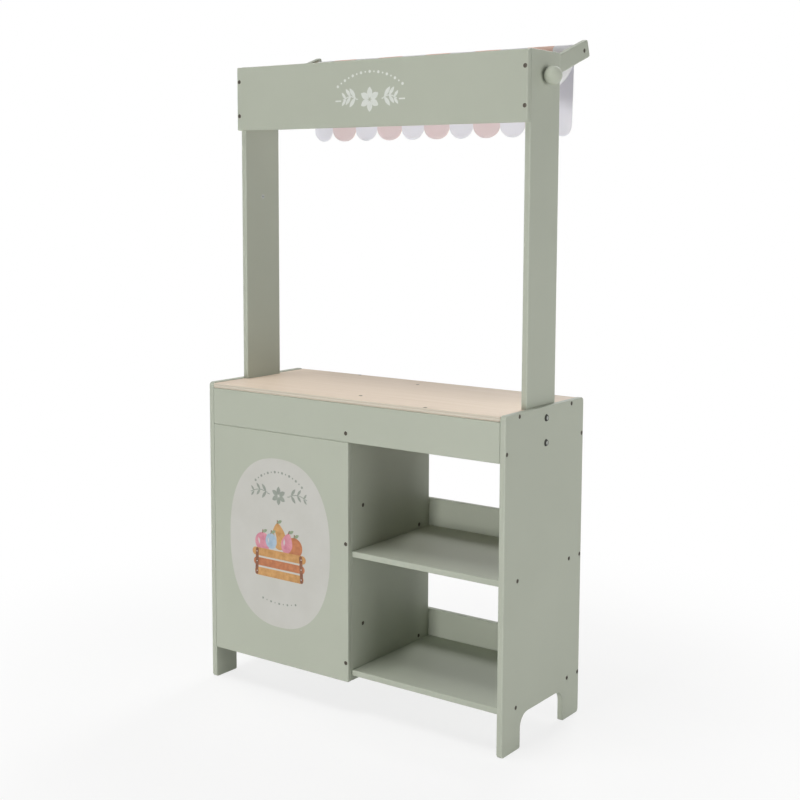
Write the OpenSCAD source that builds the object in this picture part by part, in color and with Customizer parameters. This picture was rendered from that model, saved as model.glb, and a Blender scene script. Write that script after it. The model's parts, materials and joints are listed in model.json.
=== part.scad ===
// A wooden play stall: a cafe counter on the near side, a market display with an awning on the far side.
// Millimetres. The floor is z = 0, +Z is up, and the near side faces -Y.
// Modules are written with y = 0 on the front boards' face; stand() centres the whole stall on the origin.

/* [Carcass] */
// Width over the two side panels
stall_w = 600; // [560:5:640]
// Depth from the front boards' face to the rear boards' face
stall_d = 240; // [225:5:270]
// Height of the side panels
panel_h = 526; // [510:2:560]
// Thickness of every painted board
board_t = 10; // [9:0.5:12]
// Radius of the eased edges of every board
edge_r = 1.6; // [0.8:0.2:2.4]
// Radius of the side panels' corners
panel_corner_r = 6; // [4:0.5:10]

/* [Feet] */
// Width of each foot
foot_w = 53; // [45:1:62]
// Height of the arch between the feet
arch_h = 54; // [45:1:60]
// Radius of the arch's upper corners
arch_r = 22; // [12:1:30]
// Bevel at the bottom of each foot, on the arch's side
foot_bevel = 3; // [1:0.5:5]

/* [Counter] */
// Thickness of the plywood countertop
counter_t = 8; // [7:0.5:12]
// How far the countertop lies below the panels' tops
counter_drop = 1.5; // [0.5:0.5:4]
// Height of the aprons under the countertop
apron_h = 63; // [50:1:75]

/* [Bays] */
// How far the front panel and the divider reach below the lower shelf
skirt_drop = 9; // [4:1:16]
// Height of the upper shelf's top
upper_shelf_top = 273; // [255:1:300]
// Height of the lower shelf's top
lower_shelf_top = 74; // [68:1:90]
// Height of the rear rails
rail_h = 58; // [45:1:75]
// Slope of the display shelves, in degrees
display_slope = 22; // [12:1:25]

/* [Posts and header] */
// Width of each post
post_w = 87; // [70:1:100]
// Height of the posts' tops
post_top = 1066; // [980:2:1140]
// Length of each post below the side panels' tops
post_lap = 70; // [66:1:76]
// Height of the header board
header_h = 107; // [90:1:125]
// How far the header lies below the posts' tops
header_drop = 1.5; // [0.5:0.5:4]

/* [Awning] */
// Length of an arm from its pivot to its far end
arm_l = 164.5; // [140:0.5:185]
// Width of an arm
arm_w = 28; // [24:0.5:34]
// Radius of the corners at an arm's far end
arm_corner_r = 4; // [2:0.5:8]
// How far the arms tilt up at rest, in degrees
arm_tilt = 19.5; // [0:0.5:35]
// Depth of the pivot below the posts' tops
pivot_drop = 37.5; // [30:0.5:45]
// Diameter of the front bar
bar_d = 18; // [14:1:20]
// Distance of the bar's axis from the arms' far ends
bar_setback = 16; // [12:0.5:20]

/* [Knobs] */
// Diameter of each ball knob
knob_d = 28; // [24:1:34]
// Diameter of the flat where a knob faces its post
knob_flat_d = 17.3; // [14:0.1:20]
// Diameter of the pivot bolts
pivot_d = 6; // [5:0.5:8]
// Diameter of a knob's threaded insert
insert_d = 9.5; // [9:0.5:12]

/* [Cloth] */
// Gap between the cloth's sides and the arms
cloth_gap = 4.5; // [1:0.25:12]
// Thickness of the cloth with its hems
cloth_t = 1.2; // [0.8:0.1:1.6]
// Drop of the valance from the sleeve to the tips of its scallops
valance_l = 126; // [100:1:160]
// How far the valance hangs inwards of the bar's axis
valance_set = 7; // [0:0.5:8]
// Number of scallops along the valance
scallops = 11; // [7:2:15]
// Width of the two scallops at the ends
end_scallop_w = 37.5; // [30:0.5:55]
// Depth of each scallop
scallop_depth = 20.5; // [15:0.5:28]
// How far the valance's soft folds swing at its lower edge
fold_swing = 2; // [0:0.5:4]

/* [Fasteners] */
// Shank diameter of the screws
screw_d = 3.6; // [3:0.2:4.2]
// Head diameter of the screws
screw_head_d = 7; // [6:0.5:8]
// Length of the screws
screw_l = 30; // [26:1:34]
// Distance of the screws along the shelves' ends from the front and rear faces
screw_inset = 40; // [36:1:60]
// Diameter of the post bolts
bolt_d = 6; // [5:0.5:7]
// Diameter of the post bolts' heads
bolt_head_d = 11.5; // [10:0.5:13]
// Distance between the two bolts in a post
bolt_pitch = 39; // [34:1:41]

/* [Hidden] */
$fn = 48;

// Overrun of every cut past the face that it opens
cut = 1;
// Thickness of the thin slices that a hulled cut spans
slice_t = 0.05;
// Radial clearance of screws, bolts and inserts in the boards that they hold together
screw_fit = 0.08;
// Radial clearance of the pivot bolts in what turns on them
run_fit = 0.05;
// Side gap between pieces that turn past each other
run_gap = 0.25;

// Steps of the eased edges, in degrees round the edge
EASE_ANGLES = [0, 45, 90];
EASE_STEPS = [for (a = EASE_ANGLES, b = EASE_ANGLES) [cos(b) * cos(a), cos(b) * sin(a), sin(b)]];
ONES = [1, 1, 1];
// Sides of the rounded corners of hulled boards
CORNER_FN = 32;

// Colours of the finishes
sage = "#b1b5a5";
plywood = "#dccbb0";
dark_steel = "#4a4a46";
bright_steel = "#b9bab6";
brass = "#b99a55";
beech = "#d9b98c";
cloth_colour = "#efd9d1";
tape_colour = "#e6e4dc";

// Levels and faces that several boards share
panel_inner = stall_w / 2 - board_t;
post_inner = panel_inner - board_t;
rear_face = stall_d - board_t;
mid_d = stall_d / 2;
half_t = board_t / 2;
counter_top = panel_h - counter_drop;
counter_under = counter_top - counter_t;
counter_mid = counter_top - counter_t / 2;
apron_bottom = counter_under - apron_h;
upper_shelf_mid = upper_shelf_top - half_t;
lower_shelf_mid = lower_shelf_top - half_t;
front_bottom = lower_shelf_top - board_t - skirt_drop;
post_near = mid_d - post_w / 2;
post_foot = panel_h - post_lap;
header_near = post_near - board_t;
header_top = post_top - header_drop;
header_bottom = header_top - header_h;
header_mid = header_top - header_h / 2;
pivot_z = post_top - pivot_drop;

// The display shelves rest their far ends on the rear rails' near faces
display_far = rear_face - half_t * sin(display_slope);
display_l = (display_far - board_t - half_t * sin(display_slope)) / cos(display_slope);
function display_rise(y) = (display_far - y) * tan(display_slope);

// Screws: heads lie a little below the surface, with a cross recess
screw_sink = 0.4;
screw_head_h = 2.4;
recess_l = 4.2;
recess_w = 0.9;
recess_depth = 1.5;
screw_rows = [screw_inset, stall_d - screw_inset];
// Height of the apron screws above the aprons' lower edges
apron_screw_rise = 14.5;
apron_screw_z = apron_bottom + apron_screw_rise;
// Heights of the front panel's screws above its lower edge
front_screw_rises = [32, 231];
// Distance of the outer countertop screws from the middle
counter_screw_x = 152;
// Distance between the two screws at each end of the header
header_screw_pitch = 58;
rail_mid_rise = rail_h / 2 - board_t;

// Places of the screws in the side panels, as [y, z]
shared_panel_places = concat(
    [for (y = [half_t, stall_d - half_t]) [y, apron_screw_z]],
    [for (y = screw_rows) [y, counter_mid]],
    [for (z = [upper_shelf_mid, lower_shelf_mid]) [stall_d - half_t, z]]
);
shelf_places = [for (z = [upper_shelf_mid, lower_shelf_mid], y = screw_rows) [y, z]];
right_panel_places = concat(shared_panel_places, shelf_places);
display_places = [for (z = [upper_shelf_mid, lower_shelf_mid], y = screw_rows) [y, z + display_rise(y)]];
front_edge_places = [for (rise = front_screw_rises) [half_t, front_bottom + rise]];
left_panel_places = concat(shared_panel_places, display_places, front_edge_places);
front_screw_heights = concat([apron_screw_z], [for (rise = front_screw_rises) front_bottom + rise]);
rear_screw_heights = [apron_screw_z, upper_shelf_top + rail_mid_rise, lower_shelf_top + rail_mid_rise];
counter_screw_places = concat(
    [for (y = screw_rows) [0, y]],
    [[counter_screw_x, half_t], [-counter_screw_x, stall_d - half_t]]
);

// Post bolts with low round heads, hexagon sockets and nuts on the posts' inner faces
bolt_head_h = 2.2;
socket_w = 4.6;
socket_depth = 1.4;
// Depth of the upper bolt below the panels' tops
bolt_drop = 18;
nut_w = 11.5;
nut_h = 5;
bolt_heights = [panel_h - bolt_drop, panel_h - bolt_drop - bolt_pitch];

// Threaded inserts set flush in the posts' inner faces
post_insert_d = 7;
post_insert_bore = 3.4;
// Wood left behind the inserts
post_insert_wall = 2;
post_insert_l = board_t - post_insert_wall;
// Depth of the inserts below the pivots
post_insert_drop = 184;
post_insert_z = pivot_z - post_insert_drop;

// Pivots: arm, washer, post, washer and knob along one bolt
washer_d = 16;
washer_t = 1;
bolt_cap_d = 13;
bolt_cap_h = 3;
arm_outer = post_inner - washer_t - run_gap;
arm_inner = arm_outer - board_t;
cloth_w = 2 * (arm_inner - cloth_gap);
knob_face = panel_inner + washer_t + run_gap;
knob_flat = sqrt(knob_d * knob_d - knob_flat_d * knob_flat_d) / 2;
knob_centre = knob_face + knob_flat;
insert_l = 13;
pivot_end = knob_face + insert_l - screw_fit;

// The front bar and the sleeve round it, in the arms' tilted frame
bar_y = arm_l - bar_setback;
sleeve_gap = 0.3;
sleeve_r = bar_d / 2 + sleeve_gap + cloth_t;
bar_world_y = mid_d + bar_y * cos(arm_tilt);
bar_world_z = pivot_z + bar_y * sin(arm_tilt);
soft_gap = 0.3;
// The valance's sewn top, just clear of the sleeve
valance_top = bar_world_z
    - sqrt(pow(sleeve_r + soft_gap, 2) - pow(max(valance_set - cloth_t / 2, 0), 2));

// Depth of the whole stall, from the front boards to the arms' far ends
arm_reach = mid_d + (arm_l - arm_corner_r) * cos(arm_tilt)
    + (arm_w / 2 - arm_corner_r) * sin(arm_tilt) + arm_corner_r;
whole_d = max(stall_d, arm_reach);

// Hook tape on the header's back, and the canopy that hangs from it to the bar
tape_h = 20;
tape_t = 1.5;
// Height of the tape's middle above the header's lower edge
tape_rise = 36;
tape_z = header_bottom + tape_rise;
hem_y = post_near + tape_t + soft_gap + cloth_t / 2;
hem_z = tape_z + tape_h / 2;
seam_y = bar_world_y - valance_set - cloth_t - soft_gap;
seam_z = valance_top;
// How the canopy leaves the bar's seam and the header's hem
seam_pull = [-5, 53];
hem_pull = [4, 26];
CANOPY_ROWS = 18;
CANOPY_COLS = 12;
// How far the canopy sags between its sides
canopy_sag = 3;

// Valance: the scallops between the two at the ends share what is left of the width
VALANCE_STEPS = 8;
VALANCE_BANDS = 3;
FOLD_WAVES = 5;
valance_joint = valance_top - valance_l + scallop_depth;
scallop_w = (cloth_w - 2 * end_scallop_w) / (scallops - 2);

// Puts a piece that is drawn from the front face into the stall's own frame
module stand() {
    translate([0, -whole_d / 2, 0]) children();
}

// A box from corner lo to corner hi with eased edges
module eased_box(lo, hi) {
    hull()
        for (step = EASE_STEPS)
            let (inset = edge_r * (ONES - step))
                translate(lo + inset) cube(hi - lo - 2 * inset);
}

// A disc of a board with an eased rim, standing across the X axis
module eased_disc(r) {
    rotate([0, 90, 0])
        for (a = EASE_ANGLES)
            cylinder(r = r - edge_r * (1 - cos(a)), h = board_t - 2 * edge_r * (1 - sin(a)),
                     center = true, $fn = CORNER_FN);
}

// A countersunk screw along -Z whose head lies just under z = 0
module screw() {
    difference() {
        union() {
            translate([0, 0, -screw_sink - screw_head_h])
                cylinder(d1 = screw_d, d2 = screw_head_d, h = screw_head_h);
            translate([0, 0, -screw_l])
                cylinder(d = screw_d, h = screw_l - screw_sink - screw_head_h);
        }
        for (turn = [0, 90])
            rotate(turn)
                translate([-recess_l / 2, -recess_w / 2, -screw_sink - recess_depth])
                    cube([recess_l, recess_w, recess_depth + cut]);
    }
}

// The countersunk hole that such a screw sits in
module screw_bore() {
    translate([0, 0, -screw_sink])
        cylinder(d = screw_head_d + 2 * screw_fit, h = screw_sink + cut);
    translate([0, 0, -screw_sink - screw_head_h])
        cylinder(d1 = screw_d + 2 * screw_fit, d2 = screw_head_d + 2 * screw_fit, h = screw_head_h);
    translate([0, 0, -screw_l - screw_fit])
        cylinder(d = screw_d + 2 * screw_fit, h = screw_l + screw_fit - screw_sink - screw_head_h);
}

// Places its children at each [y, z] on the right panel's outer face, facing out
module on_right_panel(places) {
    for (p = places)
        translate([stall_w / 2, p.x, p.y]) rotate([0, 90, 0]) children();
}

// The same on the left panel, as a mirror image
module on_left_panel(places) {
    mirror([1, 0, 0]) on_right_panel(places) children();
}

// Places its children on the divider: over the display shelves, and over the level shelves
module on_divider() {
    for (p = display_places)
        translate([half_t, p.x, p.y]) rotate([0, 90, 0]) children();
    for (p = shelf_places)
        translate([-half_t, p.x, p.y]) rotate([0, -90, 0]) children();
}

// Places its children on the front boards, over the divider's near edge
module on_front() {
    for (z = front_screw_heights)
        translate([0, 0, z]) rotate([90, 0, 0]) children();
}

// Places its children on the rear boards, over the divider's far edge
module on_rear() {
    for (z = rear_screw_heights)
        translate([0, stall_d, z]) rotate([-90, 0, 0]) children();
}

// Places its children on the countertop, over the divider and the aprons
module on_countertop() {
    for (p = counter_screw_places)
        translate([p.x, p.y, counter_top]) children();
}

// Places its children on the header, over the middle of each post's edge
module on_header() {
    for (x = [-1, 1] * (panel_inner - half_t), z = [-1, 1] * header_screw_pitch / 2)
        translate([x, header_near, header_mid + z]) rotate([90, 0, 0]) children();
}

// Draws its children in the arms' frame: the origin on the pivot axis, +Y along the tilted arms
module on_arms() {
    translate([0, mid_d, pivot_z]) rotate([arm_tilt, 0, 0]) children();
}

// Lays its child, drawn on the right with +Z outwards, along +X at both sides
module both_sides(x) {
    for (side = [0, 1])
        mirror([side, 0, 0]) translate([x, 0, 0]) rotate([0, 90, 0]) children();
}

// The arch cut through a side panel, with flared rims and bevelled foot edges
module arch_cut() {
    module outline(x, t, grow) {
        for (y = [foot_w + arch_r, stall_d - foot_w - arch_r])
            translate([x, y, arch_h - arch_r]) rotate([0, 90, 0])
                cylinder(r = arch_r + grow, h = t, center = true, $fn = CORNER_FN);
        translate([x - t / 2, foot_w - grow, -cut])
            cube([t, stall_d - 2 * foot_w + 2 * grow, cut]);
    }
    hull() outline(0, board_t + 2 * cut, 0);
    for (x = [-half_t, half_t])
        hull() {
            outline(x, slice_t, edge_r);
            outline(x - sign(x) * edge_r, slice_t, 0);
        }
    hull() {
        translate([-half_t - cut, foot_w, foot_bevel])
            cube([board_t + 2 * cut, stall_d - 2 * foot_w, slice_t]);
        translate([-half_t - cut, foot_w - foot_bevel - cut, -cut])
            cube([board_t + 2 * cut, stall_d - 2 * foot_w + 2 * (foot_bevel + cut), slice_t]);
    }
}

// A side panel without its screw holes, on the right
module side_panel_blank() {
    translate([stall_w / 2 - half_t, 0, 0])
        difference() {
            hull()
                for (y = [panel_corner_r, stall_d - panel_corner_r],
                     z = [panel_corner_r, panel_h - panel_corner_r])
                    translate([0, y, z]) eased_disc(panel_corner_r);
            arch_cut();
        }
}

// The holes of the two bolts that hold a post, on the right
module bolt_bores() {
    for (z = bolt_heights)
        translate([post_inner - cut, mid_d, z]) rotate([0, 90, 0])
            cylinder(d = bolt_d + 2 * screw_fit, h = 2 * board_t + 2 * cut);
}

module right_side_panel() {
    color(sage)
        difference() {
            side_panel_blank();
            on_right_panel(right_panel_places) screw_bore();
            bolt_bores();
        }
}

module left_side_panel() {
    color(sage)
        difference() {
            mirror([1, 0, 0]) side_panel_blank();
            on_left_panel(left_panel_places) screw_bore();
            mirror([1, 0, 0]) bolt_bores();
        }
}

module divider() {
    color(sage)
        difference() {
            eased_box([-half_t, board_t, front_bottom], [half_t, rear_face, counter_under]);
            on_divider() screw_bore();
            on_front() screw_bore();
            on_rear() screw_bore();
            on_countertop() screw_bore();
        }
}

module front_panel() {
    color(sage)
        difference() {
            eased_box([-panel_inner, 0, front_bottom], [half_t, board_t, apron_bottom]);
            on_front() screw_bore();
            on_left_panel(front_edge_places) screw_bore();
        }
}

// An apron between the side panels, from depth y0
module apron_blank(y0) {
    eased_box([-panel_inner, y0, apron_bottom], [panel_inner, y0 + board_t, counter_under]);
}

module front_apron() {
    color(sage)
        difference() {
            apron_blank(0);
            on_front() screw_bore();
            on_right_panel(shared_panel_places) screw_bore();
            on_left_panel(shared_panel_places) screw_bore();
            on_countertop() screw_bore();
        }
}

module rear_apron() {
    color(sage)
        difference() {
            apron_blank(rear_face);
            on_rear() screw_bore();
            on_right_panel(shared_panel_places) screw_bore();
            on_left_panel(shared_panel_places) screw_bore();
            on_countertop() screw_bore();
        }
}

module countertop() {
    color(plywood)
        difference() {
            eased_box([-panel_inner, 0, counter_under], [panel_inner, stall_d, counter_top]);
            for (side = [0, 1])
                mirror([side, 0, 0])
                    translate([post_inner - screw_fit, post_near - screw_fit, counter_under - cut])
                        cube([board_t + screw_fit + cut, post_w + 2 * screw_fit, counter_t + 2 * cut]);
            on_countertop() screw_bore();
            on_right_panel(shared_panel_places) screw_bore();
            on_left_panel(shared_panel_places) screw_bore();
        }
}

// A level shelf in the right bay with its top at the given height
module level_shelf(top) {
    color(sage)
        difference() {
            eased_box([half_t, board_t, top - board_t], [panel_inner, rear_face, top]);
            on_right_panel(right_panel_places) screw_bore();
            on_divider() screw_bore();
        }
}

module upper_shelf() { level_shelf(upper_shelf_top); }

module lower_shelf() { level_shelf(lower_shelf_top); }

// A slanted shelf in the left bay, with its far end at the given height
module display_shelf(middle) {
    color(sage)
        difference() {
            translate([0, display_far, middle]) rotate([-display_slope, 0, 0])
                eased_box([-panel_inner, -display_l, -half_t], [-half_t, 0, half_t]);
            on_left_panel(left_panel_places) screw_bore();
            on_divider() screw_bore();
        }
}

module upper_display_shelf() { display_shelf(upper_shelf_mid); }

module lower_display_shelf() { display_shelf(lower_shelf_mid); }

// A rail across the far side that stands level with a shelf's underside
module rear_rail(shelf_top) {
    bottom = shelf_top - board_t;
    color(sage)
        difference() {
            eased_box([-panel_inner, rear_face, bottom], [panel_inner, stall_d, bottom + rail_h]);
            on_right_panel(shared_panel_places) screw_bore();
            on_left_panel(shared_panel_places) screw_bore();
            on_rear() screw_bore();
        }
}

module upper_rear_rail() { rear_rail(upper_shelf_top); }

module lower_rear_rail() { rear_rail(lower_shelf_top); }

// A post on the right, with its bolt, pivot and insert holes
module post_blank() {
    difference() {
        eased_box([post_inner, post_near, post_foot], [panel_inner, post_near + post_w, post_top]);
        bolt_bores();
        translate([post_inner - cut, mid_d, pivot_z]) rotate([0, 90, 0])
            cylinder(d = pivot_d + 2 * run_fit, h = board_t + 2 * cut);
        translate([post_inner - cut, mid_d, post_insert_z]) rotate([0, 90, 0])
            cylinder(d = post_insert_d + 2 * screw_fit, h = post_insert_l + cut);
    }
}

module right_post() {
    color(sage)
        difference() {
            post_blank();
            on_header() screw_bore();
        }
}

module left_post() {
    color(sage)
        difference() {
            mirror([1, 0, 0]) post_blank();
            on_header() screw_bore();
        }
}

module header_board() {
    color(sage)
        difference() {
            eased_box([-panel_inner, header_near, header_bottom], [panel_inner, post_near, header_top]);
            on_header() screw_bore();
        }
}

module left_panel_screws() { color(dark_steel) on_left_panel(left_panel_places) screw(); }

module right_panel_screws() { color(dark_steel) on_right_panel(right_panel_places) screw(); }

module divider_screws() { color(dark_steel) on_divider() screw(); }

module front_screws() { color(dark_steel) on_front() screw(); }

module rear_screws() { color(dark_steel) on_rear() screw(); }

module countertop_screws() { color(dark_steel) on_countertop() screw(); }

module header_screws() { color(dark_steel) on_header() screw(); }

module post_bolts() {
    color(dark_steel)
        for (z = bolt_heights)
            translate([0, mid_d, z])
                both_sides(stall_w / 2)
                    difference() {
                        union() {
                            cylinder(d1 = bolt_head_d, d2 = bolt_head_d - 2 * edge_r, h = bolt_head_h);
                            translate([0, 0, -2 * board_t - nut_h])
                                cylinder(d = bolt_d, h = 2 * board_t + nut_h);
                        }
                        translate([0, 0, bolt_head_h - socket_depth])
                            cylinder(d = socket_w, h = socket_depth + cut, $fn = 6);
                    }
}

module post_nuts() {
    color(bright_steel)
        for (z = bolt_heights)
            translate([0, mid_d, z])
                both_sides(post_inner - nut_h)
                    difference() {
                        cylinder(d = nut_w, h = nut_h, $fn = 6);
                        translate([0, 0, -cut])
                            cylinder(d = bolt_d + 2 * screw_fit, h = nut_h + 2 * cut);
                    }
}

module post_inserts() {
    color(bright_steel)
        translate([0, mid_d, post_insert_z])
            both_sides(post_inner)
                difference() {
                    cylinder(d = post_insert_d, h = post_insert_l - screw_fit);
                    translate([0, 0, -cut]) cylinder(d = post_insert_bore, h = post_insert_l);
                }
}

// A washer on a pivot bolt
module washer() {
    difference() {
        cylinder(d = washer_d, h = washer_t);
        translate([0, 0, -cut]) cylinder(d = pivot_d + 2 * run_fit, h = washer_t + 2 * cut);
    }
}

module knob_washers() {
    color(bright_steel) translate([0, mid_d, pivot_z]) both_sides(panel_inner) washer();
}

module arm_washers() {
    color(bright_steel) translate([0, mid_d, pivot_z]) both_sides(arm_outer) washer();
}

module header_tape() {
    color(tape_colour)
        translate([-cloth_w / 2, post_near, tape_z - tape_h / 2]) cube([cloth_w, tape_t, tape_h]);
}

// Places its children where the arms are screwed to the bar's ends, in the arms' frame
module on_arm_ends() {
    translate([0, bar_y, 0]) both_sides(arm_outer) children();
}

// An arm on the given side (1 right, -1 left), rounded about its pivot, with square far corners eased
module arm(side) {
    color(sage)
        on_arms()
            difference() {
                translate([side * (arm_outer - half_t), 0, 0])
                    hull() {
                        eased_disc(arm_w / 2);
                        for (z = [-1, 1] * (arm_w / 2 - arm_corner_r))
                            translate([0, arm_l - arm_corner_r, z]) eased_disc(arm_corner_r);
                    }
                both_sides(arm_inner - cut)
                    cylinder(d = pivot_d + 2 * screw_fit, h = board_t + 2 * cut);
                on_arm_ends() screw_bore();
            }
}

module left_arm() { arm(-1); }

module right_arm() { arm(1); }

module front_bar() {
    color(beech)
        on_arms()
            difference() {
                translate([-arm_inner, bar_y, 0]) rotate([0, 90, 0]) cylinder(d = bar_d, h = 2 * arm_inner);
                on_arm_ends() screw_bore();
            }
}

module arm_screws() { color(dark_steel) on_arms() on_arm_ends() screw(); }

// Bolts with domed caps on the arms' inner faces
module pivot_bolts() {
    cap_r = (bolt_cap_d * bolt_cap_d / 4 + bolt_cap_h * bolt_cap_h) / (2 * bolt_cap_h);
    color(bright_steel)
        on_arms()
            both_sides(arm_inner) {
                cylinder(d = pivot_d, h = pivot_end - arm_inner);
                intersection() {
                    translate([0, 0, cap_r - bolt_cap_h]) sphere(r = cap_r);
                    translate([0, 0, -bolt_cap_h - cut])
                        cylinder(d = bolt_cap_d + cut, h = bolt_cap_h + cut);
                }
            }
}

module bar_sleeve() {
    color(cloth_colour)
        on_arms()
            translate([-cloth_w / 2, bar_y, 0]) rotate([0, 90, 0])
                difference() {
                    cylinder(r = sleeve_r, h = cloth_w);
                    translate([0, 0, -cut]) cylinder(r = sleeve_r - cloth_t, h = cloth_w + 2 * cut);
                }
}

// A closed sheet between two grids of points, row by row; the first grid faces the viewer
module cloth_sheet(face, back, rows, cols) {
    n = (rows + 1) * (cols + 1);
    function at(side, j, i) = side * n + j * (cols + 1) + i;
    function quad(a, b, c, d) = [[a, b, c], [a, c, d]];
    quads = concat(
        [for (j = [0:rows - 1], i = [0:cols - 1])
            quad(at(0, j, i), at(0, j, i + 1), at(0, j + 1, i + 1), at(0, j + 1, i))],
        [for (j = [0:rows - 1], i = [0:cols - 1])
            quad(at(1, j, i), at(1, j + 1, i), at(1, j + 1, i + 1), at(1, j, i + 1))],
        [for (i = [0:cols - 1]) quad(at(1, 0, i), at(1, 0, i + 1), at(0, 0, i + 1), at(0, 0, i))],
        [for (i = [0:cols - 1])
            quad(at(0, rows, i), at(0, rows, i + 1), at(1, rows, i + 1), at(1, rows, i))],
        [for (j = [0:rows - 1]) quad(at(1, j, 0), at(0, j, 0), at(0, j + 1, 0), at(1, j + 1, 0))],
        [for (j = [0:rows - 1])
            quad(at(0, j, cols), at(1, j, cols), at(1, j + 1, cols), at(0, j + 1, cols))]
    );
    polyhedron(points = concat(face, back), faces = [for (q = quads, f = q) f]);
}

// The canopy's side profile, a curve from the bar's seam (t = 0) to the header's hem (t = 1), as [y, z]
seam = [seam_y, seam_z];
hem = [hem_y, hem_z];
function canopy_at(t) = pow(1 - t, 3) * seam + 3 * pow(1 - t, 2) * t * (seam - seam_pull)
    + 3 * (1 - t) * t * t * (hem + [hem_pull.x, -hem_pull.y]) + pow(t, 3) * hem;
function canopy_slope(t) = 3 * pow(1 - t, 2) * (-seam_pull)
    + 6 * (1 - t) * t * (hem + [hem_pull.x, -hem_pull.y] - seam + seam_pull)
    + 3 * t * t * [-hem_pull.x, hem_pull.y];
// Unit normal on the canopy's upper side
function canopy_normal(t) = let (s = canopy_slope(t)) [s.y, -s.x] / norm(s);
// Sag between the canopy's sides: none at its sewn ends
function sag_at(t, across) = canopy_sag * sin(180 * t) * (1 - across * across);
function canopy_grid(side) = [
    for (j = [0:CANOPY_ROWS], i = [0:CANOPY_COLS])
        let (t = j / CANOPY_ROWS, across = 2 * i / CANOPY_COLS - 1,
             p = canopy_at(t) + canopy_normal(t) * side * cloth_t / 2 - [0, sag_at(t, across)])
            [across * cloth_w / 2, p.x, p.y]
];

module canopy_cloth() {
    color(cloth_colour) cloth_sheet(canopy_grid(1), canopy_grid(-1), CANOPY_ROWS, CANOPY_COLS);
}

// Where the valance's points lie: x goes round each scallop in even steps of angle
function scallop_width(k) = (k == 0 || k == scallops - 1) ? end_scallop_w : scallop_w;
function scallop_start(k) = -cloth_w / 2 + (k == 0 ? 0 : end_scallop_w + (k - 1) * scallop_w);
VALANCE_COLS = scallops * VALANCE_STEPS;
function valance_x(i) = let (k = min(floor(i / VALANCE_STEPS), scallops - 1),
                             turn = 180 * (i - k * VALANCE_STEPS) / VALANCE_STEPS)
    scallop_start(k) + scallop_width(k) * (1 - cos(turn)) / 2;
function valance_hem(i) = valance_joint - scallop_depth * sin(180 * (i % VALANCE_STEPS) / VALANCE_STEPS);
function fold_at(x) = fold_swing * sin(360 * FOLD_WAVES * x / cloth_w);
function valance_grid(side) = [
    for (j = [0:VALANCE_BANDS], i = [0:VALANCE_COLS])
        let (x = valance_x(i), down = j / VALANCE_BANDS)
            [x, bar_world_y - valance_set + side * cloth_t / 2 + down * fold_at(x),
             valance_top + down * (valance_hem(i) - valance_top)]
];

module valance_cloth() {
    color(cloth_colour) cloth_sheet(valance_grid(-1), valance_grid(1), VALANCE_BANDS, VALANCE_COLS);
}

// A ball knob on the given side (1 right, -1 left), flat where it faces the post
module knob(side) {
    color(sage)
        translate([side * knob_centre, mid_d, pivot_z]) rotate([0, side * 90, 0])
            difference() {
                sphere(d = knob_d);
                translate([0, 0, -knob_flat - knob_d / 2]) cube(knob_d, center = true);
                translate([0, 0, -knob_flat - cut])
                    cylinder(d = insert_d + 2 * screw_fit, h = insert_l + screw_fit + cut);
            }
}

module left_knob() { knob(-1); }

module right_knob() { knob(1); }

// The threaded insert in a knob
module knob_insert(side) {
    color(brass)
        translate([side * knob_face, mid_d, pivot_z]) rotate([0, side * 90, 0])
            difference() {
                cylinder(d = insert_d, h = insert_l);
                translate([0, 0, -cut]) cylinder(d = pivot_d + 2 * run_fit, h = insert_l + 2 * cut);
            }
}

module left_knob_insert() { knob_insert(-1); }

module right_knob_insert() { knob_insert(1); }

stand() left_side_panel();
stand() right_side_panel();
stand() divider();
stand() front_panel();
stand() front_apron();
stand() rear_apron();
stand() countertop();
stand() upper_shelf();
stand() lower_shelf();
stand() upper_display_shelf();
stand() lower_display_shelf();
stand() upper_rear_rail();
stand() lower_rear_rail();
stand() left_post();
stand() right_post();
stand() header_board();
stand() left_panel_screws();
stand() right_panel_screws();
stand() divider_screws();
stand() front_screws();
stand() rear_screws();
stand() countertop_screws();
stand() header_screws();
stand() post_bolts();
stand() post_nuts();
stand() post_inserts();
stand() knob_washers();
stand() header_tape();
stand() left_arm();
stand() right_arm();
stand() front_bar();
stand() arm_screws();
stand() pivot_bolts();
stand() arm_washers();
stand() bar_sleeve();
stand() canopy_cloth();
stand() valance_cloth();
stand() left_knob();
stand() right_knob();
stand() left_knob_insert();
stand() right_knob_insert();
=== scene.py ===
import json
import logging
from dataclasses import dataclass, field
from enum import Enum
from math import atan2, copysign, cos, pi, radians, sin
from typing import Any, Callable

import bmesh
import bpy
from bpy.types import Material, Node, NodeSocket, NodeTree, Object
from mathutils import Matrix, Vector


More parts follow.
